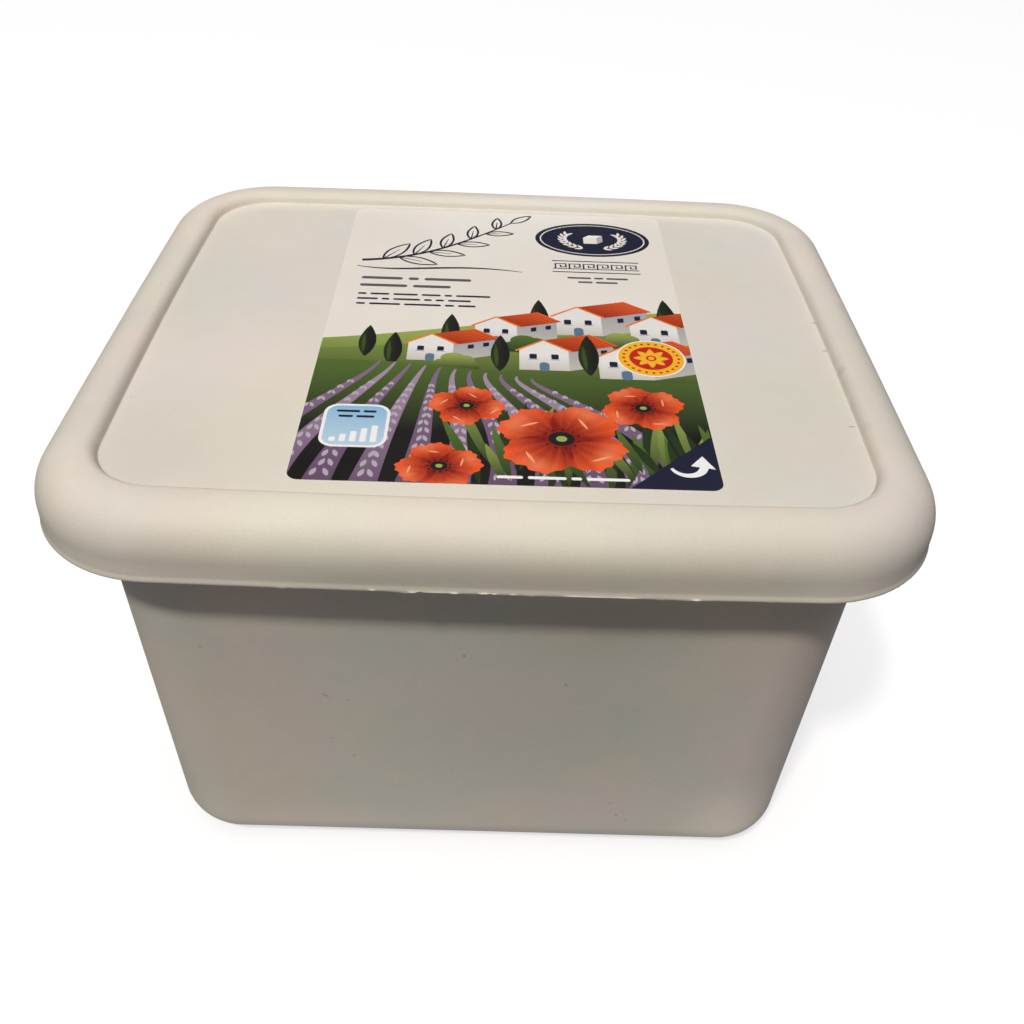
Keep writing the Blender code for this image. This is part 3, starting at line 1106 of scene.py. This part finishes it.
def lay_badge(art, u, v):
    """A light blue card with two lines of print over rising bars."""
    art.fill(WHITE, card(u, v, 14.6, 16.4, 3.4, 6))
    sky = fade(SKY_BLUE, blend(SKY_BLUE, WHITE, 0.35), (u, v + 7), (u, v - 7))
    art.lay(sky, card(u, v, 13.2, 15.0, 2.8, 6))
    gauge = []
    for step in range(5):
        tall = 1.6 + step * 1.15
        gauge.append(card(u - 4.4 + step * 2.2, v - 6.2 + tall / 2, 1.35, tall, 0.3, 2))
    art.fill(WHITE, *gauge)
    art.bars(u - 4.6, v + 5.4, (5.2, 2.9), 0.85, NAVY, 0.7)
    art.bars(u - 4.0, v + 3.4, (3.2, 4.0), 0.85, NAVY, 0.7)


def lay_peel_corner(art):
    """A navy corner to peel by, with a curved arrow."""
    art.fill(NAVY, [(PAST_SIDE, PAST_FRONT), (PAST_SIDE, -46.5), (24.5, PAST_FRONT)])
    sweep = [around(38.2, -58.4, 3.6, 3.6, math.radians(200 + share * 150)) for share in shares(16)]
    art.fill(WHITE, *ribbon(sweep, (0.7, 1.5, 1.9)))
    art.fill(WHITE, [(39.0, -58.6), (44.2, -59.6), (41.9, -55.0)])


def lay_sprig(art):
    """A line-drawn olive branch with a long underline."""
    stem = curve_points(((-40, 33), (-24, 35), (-14, 44), (1, 60)), 40)
    art.fill(NAVY, *ribbon(stem, (1.3, 0.9, 0.5)))
    outlines = []
    for step, side in ((5, 1), (9, -1), (13, 1), (17, -1), (21, 1), (25, -1), (29, 1), (33, -1), (36, 1)):
        u, v = stem[step]
        heading = math.atan2(stem[step + 1][1] - v, stem[step + 1][0] - u) + side * 0.72
        length = 12.5 - step * 0.13
        leaf = leaf_points(u, v, length, length * 0.34, heading)
        outlines += ribbon(leaf, (0.62, 0.62, 0.62), closed=True)
        vein = [(u, v), around(u, v, length * 0.62, length * 0.62, heading)]
        outlines += ribbon(vein, (0.5, 0.35, 0.2))
    outlines += ribbon(leaf_points(*stem[-1], 8, 2.8, 0.75), (0.62, 0.62, 0.62), closed=True)
    art.fill(NAVY, *outlines)
    line = curve_points(((-41, 29.5), (-28, 25.5), (-16, 33), (4, 28.5)), 30)
    art.fill(NAVY, *ribbon(line, (0.3, 1.7, 0.3)))


def lay_plaque(art, u0, v0):
    """An oval plaque with a keyline, two leafy sprays and a white cube."""
    for color, wide, tall in ((NAVY, 16.5, 11.0), (CREAM, 15.2, 9.8), (NAVY, 14.8, 9.4)):
        art.fill(color, oval(u0, v0, wide, tall, 64))
    for side in (-1, 1):
        spray = []
        for step in range(8):
            angle = -QUARTER + side * (0.35 + step * 0.24)
            u, v = around(u0, v0, 8.6, 6.2, angle)
            for lean in (-0.5, 0.6):
                spray.append(leaf_points(u, v, 2.6, 0.95, angle + side * (QUARTER + lean), 6))
        art.fill(CREAM, *spray)
    size, slant, rise = 3.9, 1.7, 1.6
    left, low = u0 - 2.6, v0 - 2.6
    right, high = left + size, low + size
    back_left, back_right = (left + slant, high + rise), (right + slant, high + rise)
    art.fill(WHITE, [(left, high), (right, high), back_right, back_left])
    art.fill(CREAM, [(left, low), (right, low), (right, high), (left, high)])
    shaded_side = [(right, low), (right + slant, low + rise), back_right, (right, high)]
    art.fill(blend(CREAM, NAVY, 0.45), shaded_side)


def lay_key_strip(art, u0):
    """A strip of Greek key between two lines."""
    cell, line = 3.9, 0.44
    key_u, key_v = u0 - 3 * cell + 0.5, 31.6
    hook = ((0, 0), (0, 3), (3, 3), (3, 1.1), (1.45, 1.1), (1.45, 2.05))
    key = [card(u0, key_v, 6 * cell + line, line, 0.02, 1)]
    for turn in range(6):
        corners = [(key_u + (turn + x / 4) * cell, key_v + y * cell / 4) for x, y in hook]
        for (ua, va), (ub, vb) in zip(corners, corners[1:]):
            wide, tall = abs(ua - ub) + line, abs(va - vb) + line
            key.append(card((ua + ub) / 2, (va + vb) / 2, wide, tall, 0.02, 1))
    art.fill(NAVY, *key)
    for height in (29.6, 36.3):
        art.fill(NAVY, card(u0, height, 24.2, 0.5, 0.1, 1))


def lay_text(art):
    """Bars in place of text."""
    art.bars(-39, 22.6, (11.0, 2.8, 12.5), 1.45, GREY, 1.5)
    art.bars(-39, 18.4, (12.5, 10.0), 1.45, GREY, 1.5)
    art.bars(-39, 13.6, (2.2, 5.0, 6.4, 5.0, 2.0, 9.0), 0.95, NAVY, 1.0)
    art.bars(-39, 10.9, (5.4, 2.0, 7.0, 2.0, 2.2, 6.0), 0.95, NAVY, 1.0)
    art.bars(-39, 8.2, (2.4, 8.0, 9.5, 2.4, 4.6), 0.95, NAVY, 1.0)


def design_print():
    art = Print()
    art.fill(CREAM, card(0, 0, LABEL_WIDE, LABEL_LONG, LABEL_CORNER, 10))
    lay_picture(art)
    lay_fields(art)
    lay_flowers(art)
    lay_medallion(art, 35.0, -15.0)
    lay_badge(art, -33, -47)
    art.bars(-2, -64.2, (5.5, 8.0, 2.2, 9.0), 0.95, WHITE, 1.0)
    lay_peel_corner(art)
    lay_sprig(art)
    lay_plaque(art, 24.5, 50.5)
    lay_key_strip(art, 24.5)
    art.bars(16.3, 26.2, (6.5, 2.5, 6.0), 1.0, GREY, 0.8)
    art.bars(19.1, 23.8, (4.0, 6.0), 1.0, GREY, 0.8)
    lay_text(art)
    return art


def close_film(bm, layer):
    """Gives the flat print its thin sides and its back, in the paper's cream."""
    edges = [edge.link_loops[0] for edge in bm.edges if edge.is_boundary]
    follow = {loop.vert: loop.link_loop_next.vert for loop in edges}
    rim = [edges[0].vert]
    while len(rim) < len(follow):
        rim.append(follow[rim[-1]])
    foot = [bm.verts.new((*vert.co.xy, vert.co.z - LABEL_THICK)) for vert in rim]
    faces = [bm.faces.new(foot[::-1])]
    for index in range(len(rim)):
        faces.append(bm.faces.new((rim[index], rim[index - 1], foot[index - 1], foot[index])))
    for face in faces:
        for loop in face.loops:
            loop[layer] = (*CREAM, 1.0)


def make_label(film):
    """The print's flat top, closed to a thin sheet of film."""
    corners, triangles, colors = design_print().flat_mesh()
    top = PANEL_HEIGHT + LABEL_LIFT + LABEL_THICK
    place = Matrix.Translation((LABEL_RIGHT, LABEL_BACK, top)) @ Matrix.Rotation(LABEL_TURN, 4, "Z")
    bm = bmesh.new()
    layer = bm.loops.layers.float_color.new("print")
    used = sorted({corner for triangle in triangles for corner in triangle})
    points = {i: bm.verts.new(place @ Vector((corners[i][0] * MM, corners[i][1] * MM, 0.0))) for i in used}
    shades = iter(colors)
    for triangle in triangles:
        face = bm.faces.new([points[i] for i in triangle])
        for loop in face.loops:
            loop[layer] = (*next(shades), 1.0)
    close_film(bm, layer)
    bmesh.ops.recalc_face_normals(bm, faces=bm.faces)
    return new_object("label_sheet", new_mesh("label_sheet", bm, film))


# ---------------------------------------------------------------- stage


def make_camera():
    ahead = Vector((math.sin(VIEW_TURN), math.cos(VIEW_TURN), 0.0))
    forward = ahead * math.cos(VIEW_DOWN) - Vector((0.0, 0.0, math.sin(VIEW_DOWN)))
    level = Vector((ahead.y, -ahead.x, 0.0))
    upright = level.cross(forward)
    right = level * math.cos(VIEW_ROLL) + upright * math.sin(VIEW_ROLL)
    up = upright * math.cos(VIEW_ROLL) - level * math.sin(VIEW_ROLL)
    lens = bpy.data.cameras.new("camera")
    lens.sensor_width = SENSOR_MM
    lens.lens = LENS_MM
    lens.clip_start = 10 * MM
    camera = new_object("camera", lens)
    turn = Matrix((right, up, -forward)).transposed().to_4x4()
    camera.matrix_world = Matrix.Translation(VIEW_TARGET - forward * VIEW_DISTANCE) @ turn
    bpy.context.scene.camera = camera


def make_floor():
    """A pale floor that sweeps up into a backdrop all round."""
    outlines = []
    for share in reversed(shares(BOWL_STEPS)):
        sweep = share * QUARTER
        radius = FLOOR_RADIUS * (LEVEL_SHARE + (1 - LEVEL_SHARE) * math.sin(sweep))
        height = BOWL_HEIGHT * (1 - math.cos(sweep))
        ring = disc(0, 0, radius, FLOOR_SIDES)
        outlines.append([(x, y, height) for x, y in ring])
    paint, _, shader, _ = new_material("floor_paint")
    shader.inputs["Base Color"].default_value = (0.5, 0.5, 0.5, 1.0)
    shader.inputs["Roughness"].default_value = 0.9
    shader.inputs["Emission Color"].default_value = (1.0, 1.0, 1.0, 1.0)
    shader.inputs["Emission Strength"].default_value = FLOOR_GLOW
    mesh = loft("floor", outlines, paint, capped=(-1,))
    mesh.shade_smooth()
    floor = new_object("floor", mesh)
    floor.visible_diffuse = False
    floor.visible_glossy = False
    floor.visible_shadow = False


def area_light(name, place, target, size, power, color):
    light = bpy.data.lights.new(name, "AREA")
    light.shape = "DISK"
    light.size = size
    light.energy = power
    light.color = color
    obj = new_object(name, light)
    obj.location = place
    obj.rotation_euler = (Vector(target) - Vector(place)).to_track_quat("-Z", "Y").to_euler()
    return obj


def make_light():
    area_light("key", KEY_PLACE, KEY_TARGET, KEY_SIZE, KEY_POWER, KEY_COLOR)
    for side, (x, y), (wide, deep), power in BOUNCE_CARDS:
        bounce = area_light(side + " bounce", (x, y, CARD_HEIGHT), (x, y, 1.0), wide, power, CARD_COLOR)
        bounce.data.shape = "RECTANGLE"
        bounce.data.size_y = deep
        bounce.visible_camera = False
    world = bpy.data.worlds.new("studio")
    bpy.context.scene.world = world
    world.use_nodes = True
    nodes = Nodes(world.node_tree)
    aim = nodes.add("ShaderNodeTexCoord").outputs["Generated"]
    height = nodes.add("ShaderNodeSeparateXYZ", {0: aim}).outputs["Z"]
    ramp = nodes.add("ShaderNodeValToRGB", {"Fac": nodes.remap(height, -1.0, 1.0)})
    elements = ramp.color_ramp.elements
    while len(elements) < len(SKY_STRENGTHS):
        elements.new(0.5)
    for element, (level, strength) in zip(elements, SKY_STRENGTHS):
        element.position = (level + 1) / 2
        element.color = (strength, strength, strength, 1.0)
    background = world.node_tree.nodes["Background"]
    background.inputs["Color"].default_value = SKY_COLOR
    nodes.feed(background.inputs["Strength"], ramp.outputs["Color"])
    bpy.context.scene.view_settings.view_transform = "Standard"


# ---------------------------------------------------------------- making

make_camera()
make_floor()
make_light()

rim_plastic = moulded_plastic(
    "lid_rim_plastic",
    (0.80, 0.738, 0.648),
    roughness=0.55,
    gloss=0.35,
    grain=0.03 * MM,
    waviness=0.03 * MM,
    mottle=1.2,
    hue=0.8,
    scuffs_and_nick_shades=LID_SPECKS_AND_NICK_SHADES,
    shades=RIM_PAINTED_LIGHT_AND_SHADE,
)
panel_plastic = moulded_plastic(
    "lid_panel_plastic",
    (0.825, 0.766, 0.690),
    roughness=0.205,
    gloss=0.5,
    grain=0.004 * MM,
    waviness=0.02 * MM,
    mottle=1.0,
    hue=0.6,
    scuffs_and_nick_shades=LID_SPECKS_AND_NICK_SHADES,
    shades=PANEL_PAINTED_LIGHT_AND_SHADE,
)
tub_plastic = moulded_plastic(
    "tub_wall_plastic",
    (0.79, 0.727, 0.648),
    roughness=0.45,
    gloss=0.45,
    grain=0.015 * MM,
    waviness=0.06 * MM,
    mottle=1.5,
    hue=1.3,
    scuffs_and_nick_shades=TUB_MARKS,
    shades=TUB_PAINTED_LIGHT_AND_SHADE,
)

lid = make_lid(rim_plastic, panel_plastic)
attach(lid, "root")
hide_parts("lid")

tub = make_tub(tub_plastic)
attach(tub, "root")
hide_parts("tub")

label = make_label(film_material())
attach(label, "root")
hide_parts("label")
